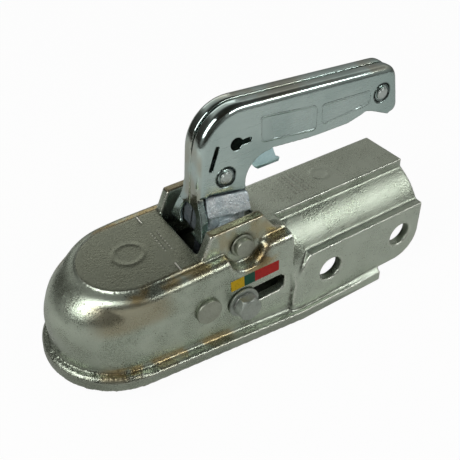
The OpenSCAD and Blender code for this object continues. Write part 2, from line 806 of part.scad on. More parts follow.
// Coiled wire round the jaw's pin, between the jaw and the wall
module jaw_spring() {
    turns = 5;
    seg = 20;
    sides = 8;
    r = jaw_pin_d / 2 + 0.3 + jaw_spring_wire;
    y0 = jaw_y + play + jaw_spring_wire;
    y1 = channel_y - 0.2 - jaw_spring_wire;
    n = turns * seg;
    points = [for (i = [0 : n]) for (k = [0 : sides - 1])
        let (a = i * 360 / seg, b = k * 360 / sides, q = r + jaw_spring_wire * cos(b))
        [jaw_pin_x + q * cos(a), y0 + (y1 - y0) * i / n + jaw_spring_wire * sin(b), jaw_pin_z + q * sin(a)]];
    skin = [for (i = [0 : n - 1]) for (k = [0 : sides - 1])
        [i * sides + k, i * sides + (k + 1) % sides, (i + 1) * sides + (k + 1) % sides, (i + 1) * sides + k]];
    ends = [[for (k = [0 : sides - 1]) sides - 1 - k], [for (k = [0 : sides - 1]) n * sides + k]];
    color("darkgray") polyhedron(points, concat(skin, ends), convexity = 8);
}

module lock_slider() {
    color("gray") difference() {
        union() {
            both_sides() translate([jaw_back_x + 0.5, arm_y + play, -slider_h])
                cube([slider_l, channel_y - play - arm_y - play, 2 * slider_h]);
            translate([jaw_back_x + 0.5, -arm_y - play - 1, -slider_h])
                cube([bridge_l, 2 * (arm_y + play + 1), slider_h - 3]);
        }
        bar_y(bolt_x, slot_z, bolt_d / 2 + pin_play, -far, far);
    }
}

// Sheet under the slider, between the walls, which the slider runs on
module slide_guide() {
    y = channel_y - 0.02;
    x0 = jaw_back_x + 4;
    color("gray") difference() {
        union() {
            translate([x0, -y, -slider_h - play - 2]) cube([front_end_x + 2 - x0, 2 * y, 2]);
            both_sides() translate([x0, -y, -slider_h - play - 8]) cube([front_end_x + 2 - x0, 2, 7]);
        }
        for (x = [66, 84]) translate([x, 0, 0]) cylinder(r = 3, h = 60, center = true);
    }
}

module slider_bush() {
    difference() {
        bar_y(bolt_x, slot_z, slot_h / 2 - pin_play, -bush_end_y, -channel_y + play);
        bar_y(bolt_x, slot_z, bolt_d / 2 + pin_play, -far, far);
    }
}

module slider_bush_left() {
    color("dimgray") slider_bush();
}

module slider_bush_right() {
    color("dimgray") mirror([0, 1, 0]) slider_bush();
}

// Six-sided prism along Y with its flats across the given width
module hexagon_y(x, z, flats, y0, y1) {
    r = flats / 2 / cos(30);
    across(y0, y1) translate([x, z]) polygon([for (k = [0 : 5]) [r * cos(60 * k + 30), r * sin(60 * k + 30)]]);
}

// Rounds the corners of a hexagon off towards one face
module corner_cone(x, z, flats, y_face, dir) {
    r = flats / 2 / cos(30);
    translate([x, y_face, z]) rotate([-90 * dir, 0, 0])
        translate([0, 0, -0.01]) cylinder(r1 = flats / 2 - 0.3, r2 = flats / 2 + 11.7, h = 20);
}

module indicator_bolt() {
    color("darkgray") {
        bar_y(bolt_x, slot_z, bolt_d / 2, -bolt_seat_y - 1, stud_end_y);
        intersection() {
            hexagon_y(bolt_x, slot_z, bolt_flats, -bolt_seat_y - bolt_head_h, -bolt_seat_y);
            corner_cone(bolt_x, slot_z, bolt_flats, -bolt_seat_y - bolt_head_h, 1);
        }
    }
}

module washer_y(r, y0, y1) {
    difference() {
        bar_y(bolt_x, slot_z, r, y0, y1);
        bar_y(bolt_x, slot_z, bolt_d / 2 + pin_play, -far, far);
    }
}

module indicator_washer() {
    color("darkgray") washer_y(washer_r, -bush_end_y - washer_t, -bush_end_y);
}

module spring_washer() {
    color("gray") difference() {
        washer_y(bolt_flats / 2 + 0.6, -bolt_seat_y, -bolt_seat_y + spring_washer_t);
        translate([bolt_x, -far, slot_z - 0.2]) cube([far, 2 * far, 0.4]);
    }
}

module rear_washer() {
    color("darkgray") washer_y(washer_r, bush_end_y, bush_end_y + washer_t);
}

module indicator_nut() {
    y0 = bush_end_y + washer_t;
    color("darkgray") difference() {
        intersection() {
            hexagon_y(bolt_x, slot_z, bolt_flats, y0, y0 + nut_h);
            corner_cone(bolt_x, slot_z, bolt_flats, y0 + nut_h, -1);
        }
        bar_y(bolt_x, slot_z, bolt_d / 2 + pin_play, -far, far);
    }
}

module indicator_label() {
    y = -wall_y + label_seat_t;
    color("gold") across(y - label_t, y) translate([label_x, label_z]) square([label_l, label_h]);
}

coupling_body();
handle_shell_left();
handle_shell_right();
lock_lever();
lever_rivet();
end_rivet();
end_spacer();
safety_trigger();
handle_pivot_pin();
pivot_washer();
pivot_clip();
ball_jaw();
jaw_pin();
jaw_pin_washer();
jaw_pin_clip();
jaw_spring();
lock_slider();
slide_guide();
slider_bush_left();
slider_bush_right();
indicator_bolt();
indicator_washer();
spring_washer();
rear_washer();
indicator_nut();
indicator_label();
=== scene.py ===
import json
import math

import bmesh
import bpy
from mathutils import Matrix, Vector


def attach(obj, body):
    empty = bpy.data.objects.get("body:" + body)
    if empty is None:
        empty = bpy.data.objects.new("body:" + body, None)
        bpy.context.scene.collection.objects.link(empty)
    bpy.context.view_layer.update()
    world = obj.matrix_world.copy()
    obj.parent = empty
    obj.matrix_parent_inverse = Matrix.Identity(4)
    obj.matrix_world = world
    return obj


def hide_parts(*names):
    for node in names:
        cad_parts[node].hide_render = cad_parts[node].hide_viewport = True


MM = 0.001

# Places on the coupling, in millimetres
SOLE_Z = -32.0
SOLE_SLOPE = 0.121
SOLE_REAR_X = 99.0
PIVOT_X, PIVOT_Z = 66.0, 31.0
PIVOT_SEAT_X, PIVOT_SEAT_Z = 72.0, 24.0
BOLT_X, BOLT_Z = 60.5, 0.0
FOOT_RIVET_X, FOOT_RIVET_Z = 68.7, 62.0
TAIL_RIVET_X, TAIL_RIVET_Z = 170.3, 77.5

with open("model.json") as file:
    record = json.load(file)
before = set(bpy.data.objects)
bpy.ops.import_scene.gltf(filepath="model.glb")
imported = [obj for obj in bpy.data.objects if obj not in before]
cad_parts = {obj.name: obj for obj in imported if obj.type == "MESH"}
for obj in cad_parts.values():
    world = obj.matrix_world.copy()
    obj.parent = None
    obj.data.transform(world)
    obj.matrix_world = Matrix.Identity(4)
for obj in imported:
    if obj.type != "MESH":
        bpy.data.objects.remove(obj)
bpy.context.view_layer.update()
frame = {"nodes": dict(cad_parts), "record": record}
nodes = frame["nodes"]


def deselect():
    """Leaves nothing selected and nothing active."""
    for o in bpy.context.selected_objects:
        o.select_set(False)
    bpy.context.view_layer.objects.active = None


def pick(obj):
    """Makes obj the only selected object."""
    deselect()
    obj.select_set(True)
    bpy.context.view_layer.objects.active = obj


def apply_modifiers(obj):
    """Applies every modifier of obj in order."""
    pick(obj)
    for m in list(obj.modifiers):
        bpy.ops.object.modifier_apply(modifier=m.name)


# Camera at the photograph's viewing angle


def place_camera():
    """Puts the camera where the photograph was taken from."""
    azimuth = math.radians(-30.33)
    elevation = math.radians(38.84)
    roll = math.radians(-2.89)
    distance = 0.34311
    target = Vector((0.0742, 0.0, 0.0252))
    photo_px = 460
    focal_px = 623.9
    optical_centre_px = (228.72, 221.65)
    sensor_mm = 36.0
    back = Vector((math.sin(azimuth) * math.cos(elevation), -math.cos(azimuth) * math.cos(elevation),
                   math.sin(elevation)))
    right = Vector((math.cos(azimuth), math.sin(azimuth), 0.0))
    up = back.cross(right)
    right_rolled = right * math.cos(roll) + up * math.sin(roll)
    up_rolled = up * math.cos(roll) - right * math.sin(roll)
    data = bpy.data.cameras.new("photo_camera")
    data.sensor_fit = "HORIZONTAL"
    data.sensor_width = sensor_mm
    data.lens = focal_px * sensor_mm / photo_px
    data.shift_x = -(optical_centre_px[0] - photo_px / 2) / photo_px
    data.shift_y = (optical_centre_px[1] - photo_px / 2) / photo_px
    data.clip_start = 0.01
    camera = bpy.data.objects.new("photo_camera", data)
    bpy.context.collection.objects.link(camera)
    matrix = Matrix.Identity(4)
    for row in range(3):
        matrix[row][0] = right_rolled[row]
        matrix[row][1] = up_rolled[row]
        matrix[row][2] = back[row]
        matrix[row][3] = (target + back * distance)[row]
    camera.matrix_world = matrix
    bpy.context.scene.camera = camera


place_camera()

# Materials


class Graph:
    """A node tree under construction, with short calls to add and join nodes."""

    def __init__(self, tree):
        self.tree = tree

    def add(self, kind, **settings):
        """Adds a node of a kind, with its settings."""
        node = self.tree.nodes.new(kind)
        for key, value in settings.items():
            setattr(node, key, value)
        return node

    def join(self, source, target):
        """Links an output to an input."""
        self.tree.links.new(source, target)

    def feed(self, socket, value):
        """Sets a socket to a value, or links it where the value is another socket."""
        if isinstance(value, bpy.types.NodeSocket):
            self.join(value, socket)
        else:
            socket.default_value = value

    def math(self, operation, a, b=0.0):
        """One arithmetic operation on one or two values."""
        node = self.add("ShaderNodeMath", operation=operation)
        self.feed(node.inputs[0], a)
        self.feed(node.inputs[1], b)
        return node.outputs[0]

    def chain(self, operation, values):
        """Folds several values into one by the same operation."""
        result = values[0]
        for value in values[1:]:
            result = self.math(operation, result, value)
        return result

    def times(self, *values):
        """The product of several values."""
        return self.chain("MULTIPLY", values)

    def plus(self, *values):
        """The sum of several values."""
        return self.chain("ADD", values)

    def most(self, *values):
        """The largest of several values."""
        return self.chain("MAXIMUM", values)

    def minus(self, a, b):
        """The difference of two values."""
        return self.math("SUBTRACT", a, b)

    def unsigned(self, value):
        """A value without its sign."""
        return self.math("ABSOLUTE", value)

    def length(self, a, b):
        """The distance over two offsets at right angles."""
        return self.math("SQRT", self.plus(self.times(a, a), self.times(b, b)))

    def ramp(self, value, low, high, out_low=0.0, out_high=1.0):
        """A smooth step from out_low at low to out_high at high, which may lie below low."""
        node = self.add("ShaderNodeMapRange", interpolation_type="SMOOTHSTEP")
        self.feed(node.inputs["Value"], value)
        node.inputs["From Min"].default_value = low
        node.inputs["From Max"].default_value = high
        node.inputs["To Min"].default_value = out_low
        node.inputs["To Max"].default_value = out_high
        return node.outputs["Result"]

    def mix(self, factor, a, b):
        """A blend of two colours."""
        node = self.add("ShaderNodeMix", data_type="RGBA", blend_type="MIX")
        self.feed(node.inputs[0], factor)
        self.feed(node.inputs[6], a)
        self.feed(node.inputs[7], b)
        return node.outputs[2]

    def tint(self, base, mask, share, color):
        """Lays a colour over base where the mask is, by a share of the mask."""
        return self.mix(self.times(mask, share), base, color)

    def noise(self, vector, scale, detail):
        """Soft noise between 0 and 1."""
        node = self.add("ShaderNodeTexNoise")
        self.feed(node.inputs["Vector"], vector)
        self.feed(node.inputs["Scale"], scale)
        node.inputs["Detail"].default_value = detail
        return node

    def millimetres(self):
        """The place on the piece in millimetres."""
        coordinates = self.add("ShaderNodeTexCoord")
        mapping = self.add("ShaderNodeMapping")
        mapping.inputs["Scale"].default_value = (1.0 / MM, 1.0 / MM, 1.0 / MM)
        self.join(coordinates.outputs["Object"], mapping.inputs["Vector"])
        return mapping.outputs["Vector"]

    def axes(self, vector):
        """The three parts of a vector."""
        node = self.add("ShaderNodeSeparateXYZ")
        self.join(vector, node.inputs[0])
        return node.outputs[0], node.outputs[1], node.outputs[2]

    def use(self, group, values):
        """Places a node group with its own values and gives its outputs in order."""
        node = self.add("ShaderNodeGroup", node_tree=group)
        for label, value in values.items():
            node.inputs[label].default_value = value
        return list(node.outputs)


def rgb(r, g, b):
    """A linear colour with full opacity."""
    return (r, g, b, 1.0)


def new_group(name, inputs, outputs):
    """A node group with number sockets, its graph, and the two ends that the graph runs between."""
    group = bpy.data.node_groups.new(name, "ShaderNodeTree")
    for label, value in inputs.items():
        socket = group.interface.new_socket(label, in_out="INPUT", socket_type="NodeSocketFloat")
        socket.default_value = value
    for label in outputs:
        group.interface.new_socket(label, in_out="OUTPUT", socket_type="NodeSocketFloat")
    g = Graph(group)
    return group, g, g.add("NodeGroupInput").outputs, g.add("NodeGroupOutput").inputs


def make_grain_group():
    """Speckle of a rough or a plated metal skin: a mask, slow patches and a height."""
    group, g, given, result = new_group("metal_grain", {"Grain": 1.0, "Patch": 0.08},
                                        ("Speckle", "Patches", "Height"))
    place = g.millimetres()
    fine = g.noise(place, given["Grain"], 4.0)
    fine.inputs["Roughness"].default_value = 0.6
    slow = g.noise(place, given["Patch"], 3.0)
    pits = g.add("ShaderNodeTexVoronoi", feature="SMOOTH_F1")
    g.join(place, pits.inputs["Vector"])
    g.join(given["Grain"], pits.inputs["Scale"])
    height = g.plus(g.times(fine.outputs["Fac"], 0.7), g.times(pits.outputs["Distance"], 0.3))
    g.join(g.ramp(fine.outputs["Fac"], 0.32, 0.68), result["Speckle"])
    g.join(g.ramp(slow.outputs["Fac"], 0.35, 0.65), result["Patches"])
    g.join(height, result["Height"])
    return group


def make_pips_group():
    """Rows of plain raised pips inside a turned rectangle on the casting's top, in millimetres."""
    inputs = {"X": 0.0, "Y": 0.0, "Turn": 0.0, "Half length": 8.0, "Half width": 4.0}
    pip_pitch = 2.4
    row_pitch = 4.2
    group, g, given, result = new_group("cast_pips", inputs, ("Height",))
    x, y, _ = g.axes(g.millimetres())
    dx = g.minus(x, given["X"])
    dy = g.minus(y, given["Y"])
    cosine = g.math("COSINE", given["Turn"])
    sine = g.math("SINE", given["Turn"])
    along = g.plus(g.times(dx, cosine), g.times(dy, sine))
    across = g.minus(g.times(dy, cosine), g.times(dx, sine))
    inside = g.times(g.math("LESS_THAN", g.unsigned(along), given["Half length"]),
                     g.math("LESS_THAN", g.unsigned(across), given["Half width"]))
    from_pip = g.unsigned(g.minus(g.math("FRACT", g.math("DIVIDE", along, pip_pitch)), 0.5))
    from_row = g.unsigned(g.minus(g.math("FRACT", g.math("DIVIDE", across, row_pitch)), 0.5))
    pip = g.times(g.ramp(from_pip, 0.36, 0.2), g.ramp(from_row, 0.28, 0.16))
    g.join(g.times(pip, inside), result["Height"])
    return group


def make_dimple_group():
    """Height in a round dimple and the painted shade ring at its edge, in millimetres."""
    inputs = {"X": 0.0, "Z": 0.0, "Radius": 5.0, "Depth": 1.0}
    group, g, given, result = new_group("round_dimple", inputs, ("Height", "Shade ring"))
    x, _, z = g.axes(g.millimetres())
    away = g.length(g.minus(x, given["X"]), g.minus(z, given["Z"]))
    share = g.math("DIVIDE", away, given["Radius"])
    g.join(g.times(g.ramp(share, 1.0, 0.62), g.times(given["Depth"], -1.0)), result["Height"])
    g.join(g.times(g.ramp(share, 1.0, 0.82), g.ramp(share, 0.56, 0.64)), result["Shade ring"])
    return group


def make_frame_group():
    """Raised line round a rounded four-sided field, given its centre, half sizes and slope."""
    inputs = {"X": 0.0, "Z": 0.0, "Half length": 10.0, "Half height": 5.0, "Slope": 0.0, "Taper": 0.0,
              "Corner": 2.0}
    group, g, given, result = new_group("pressed_frame", inputs, ("Line", "Inside"))
    x, _, z = g.axes(g.millimetres())
    corner = given["Corner"]
    dx = g.minus(x, given["X"])
    dz = g.minus(g.minus(z, given["Z"]), g.times(dx, given["Slope"]))
    half_height = g.plus(given["Half height"], g.times(dx, given["Taper"]))
    past_x = g.minus(g.unsigned(dx), g.minus(given["Half length"], corner))
    past_z = g.minus(g.unsigned(dz), g.minus(half_height, corner))
    outer = g.length(g.most(past_x, 0.0), g.most(past_z, 0.0))
    inner = g.math("MINIMUM", g.most(past_x, past_z), 0.0)
    away = g.minus(g.plus(outer, inner), corner)
    g.join(g.ramp(g.unsigned(away), 0.75, 0.1), result["Line"])
    g.join(g.ramp(away, 0.2, -0.4), result["Inside"])
    return group


GRAIN = make_grain_group()
PIPS = make_pips_group()
DIMPLE = make_dimple_group()
FRAME = make_frame_group()


def start_material(name, metallic):
    """A new material with one shader, its graph and that shader."""
    material = bpy.data.materials.new(name)
    material.use_nodes = True
    material.node_tree.nodes.clear()
    g = Graph(material.node_tree)
    out = g.add("ShaderNodeOutputMaterial")
    shader = g.add("ShaderNodeBsdfPrincipled")
    shader.inputs["Metallic"].default_value = metallic
    g.join(shader.outputs["BSDF"], out.inputs["Surface"])
    return material, g, shader


def add_bump(g, shader, height, depth_mm):
    """Turns a height between 0 and 1 into a relief of a depth."""
    bump = g.add("ShaderNodeBump")
    bump.inputs["Distance"].default_value = depth_mm * MM
    bump.inputs["Strength"].default_value = 1.0
    g.feed(bump.inputs["Height"], height)
    g.join(bump.outputs["Normal"], shader.inputs["Normal"])


def plain_metal(name, dark, light, grain, patch, rough, spread, depth_mm, metallic=1.0):
    """A metal whose colour, gloss and height all follow the same grain."""
    material, g, shader = start_material(name, metallic)
    speckle, patches, height = g.use(GRAIN, {"Grain": grain, "Patch": patch})
    blend = g.plus(g.times(speckle, 0.45), g.times(patches, 0.55))
    g.join(g.mix(blend, dark, light), shader.inputs["Base Color"])
    g.join(g.plus(g.times(patches, spread), rough), shader.inputs["Roughness"])
    add_bump(g, shader, height, depth_mm)
    return material


LEVER_DARK = rgb(0.46, 0.58, 0.63)
LEVER_LIGHT = rgb(0.96, 1.0, 1.0)
LEVER_TONGUE_SHADE = rgb(0.07, 0.09, 0.105)
LEVER_SLIT_SHADE = rgb(0.004, 0.005, 0.005)


def lever_metal():
    """Blue zinc on the lever's speckled side pads, with painted shade on the tongue between them and darker
    painted shade in its slit.
    """
    material, g, shader = start_material("lever_zinc", 0.5)
    speckle, patches, height = g.use(GRAIN, {"Grain": 1.5, "Patch": 0.2})
    side = g.unsigned(g.axes(g.millimetres())[1])
    blend = g.plus(g.times(speckle, 0.5), g.times(patches, 0.5))
    base = g.mix(blend, LEVER_DARK, LEVER_LIGHT)
    # Painted shade: the tongue between the pads and the slit in it are darkened to stand for the shade that
    # falls there
    base = g.tint(base, g.ramp(side, 9.9, 8.9), 0.85, LEVER_TONGUE_SHADE)
    base = g.mix(g.ramp(side, 0.9, 0.4), base, LEVER_SLIT_SHADE)
    g.join(base, shader.inputs["Base Color"])
    g.join(g.plus(g.times(patches, 0.1), 0.2), shader.inputs["Roughness"])
    add_bump(g, shader, height, 0.5)
    return material


CAST_DARK = rgb(0.275, 0.315, 0.245)
CAST_LIGHT = rgb(0.45, 0.505, 0.415)
CAST_SPECKLE = rgb(0.59, 0.66, 0.555)
PAD_PALE = rgb(0.62, 0.69, 0.59)
HOLLOW_PAINTED_SHADE = rgb(0.07, 0.07, 0.05)
EDGE_LIGHT = rgb(0.74, 0.76, 0.68)
LAND_DULL = rgb(0.19, 0.20, 0.145)
REAR_TOP_PALE = rgb(0.66, 0.71, 0.60)
CHEEK_OLIVE = rgb(0.27, 0.225, 0.13)
YELLOW_TINT = rgb(0.42, 0.30, 0.11)
RUST = rgb(0.14, 0.09, 0.035)
GRIME = rgb(0.055, 0.05, 0.03)
PIP_PALE = rgb(0.66, 0.67, 0.57)
RIB_BRIGHT = rgb(0.95, 0.95, 0.84)
FLANGE_DARK = rgb(0.13, 0.14, 0.105)
DOME_BROWN = rgb(0.36, 0.29, 0.17)
NOSE_DULL = rgb(0.17, 0.19, 0.145)
MOULD_SPECK = rgb(0.12, 0.125, 0.09)
QUARTER_TURN = 1.5708
RIB_X = 31.0


def casting_metal():
    """Zinc on a rough casting: grey green, dull on the flat top, with yellow tints in the rounds."""
    material, g, shader = start_material("cast_zinc", 0.9)
    speckle, patches, height = g.use(GRAIN, {"Grain": 1.5, "Patch": 0.06})
    place = g.millimetres()
    x, y, z = g.axes(place)
    side = g.unsigned(y)
    geometry = g.add("ShaderNodeNewGeometry")
    upward = g.axes(geometry.outputs["Normal"])[2]
    bend = geometry.outputs["Pointiness"]
    wander = g.noise(place, 0.09, 3.0).outputs["Fac"]
    foot_line = g.plus(z, g.times(x, SOLE_SLOPE))
    from_seat = g.length(g.minus(x, PIVOT_SEAT_X), g.minus(z, PIVOT_SEAT_Z))
    from_pivot = g.length(g.minus(x, PIVOT_X), g.minus(z, PIVOT_Z))
    # Patches and speckle, paler pads, painted shade in the hollows and worn edges
    base = g.mix(patches, CAST_DARK, CAST_LIGHT)
    base = g.tint(base, speckle, 0.5, CAST_SPECKLE)
    pads = g.times(g.ramp(side, 31.0, 33.0), g.ramp(x, 44.0, 100.0))
    base = g.tint(base, pads, 0.5, PAD_PALE)
    # Painted shade: hollows, where the mesh's pointiness is low, are darkened as shade would darken them
    base = g.tint(base, g.ramp(bend, 0.494, 0.465), 0.8, HOLLOW_PAINTED_SHADE)
    base = g.tint(base, g.ramp(bend, 0.506, 0.535), 0.6, EDGE_LIGHT)
    # Flat top, darker in front, and the olive tops of the cheeks
    top = g.times(g.ramp(z, 30.6, 31.3), g.ramp(upward, 0.8, 0.97))
    base = g.tint(base, g.times(top, g.ramp(x, 96.0, 80.0)), 0.84, LAND_DULL)
    cheek = g.times(g.ramp(z, 33.0, 36.0), g.ramp(upward, 0.55, 0.8))
    base = g.tint(base, cheek, 0.75, CHEEK_OLIVE)
    # Yellow tints along the shoulders, round the pivot's seat and along the foot
    shoulder = g.times(g.ramp(side, 23.5, 28.0), g.ramp(side, 34.3, 30.0), g.ramp(z, 24.0, 27.5),
                       g.ramp(x, 100.0, 88.0), g.ramp(wander, 0.42, 0.62))
    seat = g.times(g.ramp(from_seat, 14.0, 6.0), g.ramp(side, 26.0, 28.5), g.ramp(wander, 0.42, 0.58))
    foot_front = g.times(g.ramp(side, 25.0, 32.0), g.ramp(x, 8.0, -2.0))
    foot = g.times(g.ramp(foot_line, -8.0, -10.5), g.ramp(foot_line, -15.0, -12.0), g.ramp(x, 70.0, 40.0),
                   g.ramp(wander, 0.4, 0.56), g.most(g.ramp(side, 33.5, 34.2), foot_front))
    base = g.tint(base, g.most(shoulder, seat, g.times(foot, 0.9)), 0.75, YELLOW_TINT)
    # Rust and grime round the pivot
    rust = g.times(g.ramp(from_seat, 10.0, 3.0), g.ramp(side, 26.0, 28.5), g.ramp(x, 69.0, 74.0))
    base = g.tint(base, rust, 0.65, RUST)
    grime = g.times(g.ramp(from_pivot, 9.5, 6.0), g.ramp(side, 24.0, 25.0), g.ramp(wander, 0.3, 0.5))
    base = g.tint(base, grime, 0.7, GRIME)
    # Plain raised pips and two short ribs on the flat top, which is paler at the rear
    rear_pips = {"X": 120.0, "Y": 1.0, "Turn": QUARTER_TURN, "Half length": 9.0, "Half width": 6.0}
    front_pips = {"X": 33.0, "Y": 0.0, "Turn": QUARTER_TURN, "Half length": 8.6, "Half width": 2.1}
    pips = g.times(g.most(g.use(PIPS, rear_pips)[0], g.use(PIPS, front_pips)[0]), top)
    from_rib = g.unsigned(g.minus(x, RIB_X))
    rib = g.times(g.ramp(from_rib, 0.7, 0.3), g.ramp(side, 18.4, 19.2), g.ramp(side, 25.6, 25.0), top)
    base = g.tint(base, pips, 0.75, PIP_PALE)
    base = g.tint(base, rib, 0.9, RIB_BRIGHT)
    base = g.tint(base, g.times(top, g.ramp(x, 80.0, 96.0)), 0.35, REAR_TOP_PALE)
    # Darker outer face of the flange, browner shoulder of the dome, duller front of the nose
    base = g.tint(base, g.ramp(foot_line, -12.6, -14.2), 0.4, FLANGE_DARK)
    dome = g.times(g.ramp(z, 11.0, 17.0), g.ramp(z, 29.5, 26.0), g.ramp(side, 13.0, 20.0),
                   g.ramp(x, -22.0, -12.0), g.ramp(x, 26.0, 12.0))
    base = g.tint(base, dome, 0.55, DOME_BROWN)
    base = g.tint(base, g.times(g.ramp(x, -8.0, -26.0), g.ramp(z, 18.0, 8.0)), 0.4, NOSE_DULL)
    # Dark specks of the sand mould
    spots = g.add("ShaderNodeTexVoronoi", feature="F1")
    g.join(place, spots.inputs["Vector"])
    spots.inputs["Scale"].default_value = 0.42
    speck = g.times(g.ramp(spots.outputs["Distance"], 0.2, 0.1), g.ramp(wander, 0.5, 0.6))
    base = g.tint(base, speck, 0.55, MOULD_SPECK)
    g.join(base, shader.inputs["Base Color"])
    # Gloss and relief: duller and rougher on the rear tube, roughest round the nose's foot
    tube = g.times(g.ramp(x, 97.0, 103.0), g.ramp(side, 14.0, 17.0))
    roughness = g.plus(g.times(patches, 0.08), 0.2, g.times(speckle, 0.1), g.times(tube, 0.03))
    g.join(roughness, shader.inputs["Roughness"])
    nose_foot = g.times(g.ramp(foot_line, -8.0, -12.0), g.ramp(x, 22.0, -8.0))
    coarse = g.times(g.noise(place, 0.7, 3.0).outputs["Fac"], g.plus(g.times(nose_foot, 0.48), 0.12))
    skin = g.plus(g.times(height, g.plus(g.times(tube, 0.1), 0.14)), g.times(coarse, 0.55))
    skin = g.minus(skin, g.times(speck, 0.12))
    skin = g.plus(skin, g.times(g.most(pips, rib), 0.7))
    add_bump(g, shader, skin, 1.0)
    return material


SHEET_DARK = rgb(0.46, 0.58, 0.55)
SHEET_LIGHT = rgb(0.58, 0.70, 0.665)
SHEET_STREAK = rgb(0.42, 0.50, 0.49)
ROLL_WARM_REFLECTION = rgb(0.40, 0.33, 0.22)
FRAME_DULL = rgb(0.40, 0.485, 0.48)
RING_PAINTED_SHADE = rgb(0.06, 0.07, 0.068)


def handle_metal():
    """Bright blue zinc on smooth pressed sheet: mirror-like on the rolled edge, duller on the side faces."""
    material, g, shader = start_material("handle_zinc", 1.0)
    _, patches, height = g.use(GRAIN, {"Grain": 0.35, "Patch": 0.03})
    place = g.millimetres()
    side = g.unsigned(g.axes(place)[1])
    flat = g.ramp(side, 8.3, 8.9)
    stretch = g.add("ShaderNodeMapping")
    stretch.inputs["Scale"].default_value = (0.04, 0.5, 0.9)
    g.join(place, stretch.inputs["Vector"])
    streaks = g.noise(stretch.outputs["Vector"], 1.0, 4.0).outputs["Fac"]
    base = g.mix(patches, SHEET_DARK, SHEET_LIGHT)
    base = g.tint(base, g.ramp(streaks, 0.45, 0.75), 0.12, SHEET_STREAK)
    # Painted reflection: warm brown patches on the rolled top stand for the brown room that the roll
    # reflects
    roll = g.times(g.ramp(side, 8.6, 7.6), g.ramp(g.noise(place, 0.05, 3.0).outputs["Fac"], 0.4, 0.6))
    base = g.tint(base, roll, 0.5, ROLL_WARM_REFLECTION)
    # Two pressed frames on the side faces
    front_frame = {"X": 107.5, "Z": 79.6, "Half length": 17.3, "Half height": 7.0, "Slope": -0.14,
                   "Taper": 0.0, "Corner": 2.4}
    rear_frame = {"X": 145.2, "Z": 77.4, "Half length": 16.6, "Half height": 4.8, "Slope": 0.0,
                  "Taper": -0.06, "Corner": 2.2}
    line_front, inside_front = g.use(FRAME, front_frame)
    line_rear, inside_rear = g.use(FRAME, rear_frame)
    lines = g.times(g.most(line_front, line_rear), flat)
    inside = g.times(g.most(inside_front, inside_rear), flat)
    base = g.tint(base, inside, 0.1, FRAME_DULL)
    # Dimples round the two rivets, each with a painted shade ring on its sloping edge
    foot_dimple = {"X": FOOT_RIVET_X, "Z": FOOT_RIVET_Z, "Radius": 6.5, "Depth": 1.9}
    tail_dimple = {"X": TAIL_RIVET_X, "Z": TAIL_RIVET_Z, "Radius": 6.5, "Depth": 1.9}
    dent_foot, shade_ring_foot = g.use(DIMPLE, foot_dimple)
    dent_tail, shade_ring_tail = g.use(DIMPLE, tail_dimple)
    # Painted shade: a dark ring round each dimple's edge on the side faces
    base = g.tint(base, g.times(g.most(shade_ring_foot, shade_ring_tail), flat), 0.9, RING_PAINTED_SHADE)
    g.join(base, shader.inputs["Base Color"])
    roughness = g.plus(g.times(g.ramp(streaks, 0.4, 0.65), 0.07), g.times(flat, 0.1),
                       g.times(inside, 0.08), 0.11)
    g.join(roughness, shader.inputs["Roughness"])
    dents = g.times(g.plus(dent_foot, dent_tail), flat)
    add_bump(g, shader, g.plus(dents, g.times(lines, 0.24), g.times(height, 0.035)), 1.0)
    return material


LABEL_YELLOW = rgb(0.66, 0.43, 0.01)
LABEL_GREEN = rgb(0.007, 0.085, 0.05)
LABEL_RED = rgb(0.46, 0.014, 0.01)
LABEL_WEAR = rgb(0.03, 0.027, 0.02)


def label_print():
    """Printed label: a yellow, a green and a red field."""
    material, g, shader = start_material("label_print", 0.0)
    place = g.millimetres()
    x = g.axes(place)[0]
    wear = g.noise(place, 0.9, 4.0).outputs["Fac"]
    color = g.mix(g.ramp(x, 61.9, 62.1), LABEL_YELLOW, LABEL_GREEN)
    color = g.mix(g.ramp(x, 68.6, 68.8), color, LABEL_RED)
    color = g.tint(color, g.ramp(wear, 0.5, 0.75), 0.4, LABEL_WEAR)
    g.join(color, shader.inputs["Base Color"])
    g.join(g.ramp(wear, 0.3, 0.7, 0.5, 0.65), shader.inputs["Roughness"])
    shader.inputs["Specular IOR Level"].default_value = 0.25
    return material


METALS = {
    "cast_body": casting_metal(),
    "handle_sheet": handle_metal(),
    "lever_zinc": lever_metal(),
    "rivet_zinc": plain_metal("rivet_zinc", rgb(0.46, 0.52, 0.49), rgb(0.64, 0.70, 0.67),
                              grain=1.2, patch=0.2, rough=0.22, spread=0.14, depth_mm=0.06),
    "trigger_zinc": plain_metal("trigger_zinc", rgb(0.52, 0.78, 0.82), rgb(0.68, 0.92, 0.95),
                                grain=0.8, patch=0.1, rough=0.26, spread=0.1, depth_mm=0.06, metallic=0.75),
    "pin_steel": plain_metal("pin_steel", rgb(0.30, 0.32, 0.26), rgb(0.46, 0.49, 0.41),
                             grain=1.1, patch=0.15, rough=0.38, spread=0.14, depth_mm=0.14),
    "spring_steel": plain_metal("spring_steel", rgb(0.22, 0.23, 0.22), rgb(0.36, 0.37, 0.35),
                                grain=1.0, patch=0.1, rough=0.34, spread=0.1, depth_mm=0.05),
    "jaw_iron": plain_metal("jaw_iron", rgb(0.045, 0.05, 0.04), rgb(0.13, 0.14, 0.11),
                            grain=0.7, patch=0.1, rough=0.4, spread=0.2, depth_mm=0.25),
    "bolt_zinc": plain_metal("bolt_zinc", rgb(0.28, 0.31, 0.275), rgb(0.46, 0.505, 0.45),
                             grain=1.2, patch=0.2, rough=0.42, spread=0.12, depth_mm=0.1, metallic=0.8),
    "label_print": label_print(),
}


def dress(obj, slot):
    """Gives obj one finish."""
    obj.data.materials.clear()
    obj.data.materials.append(METALS[slot])


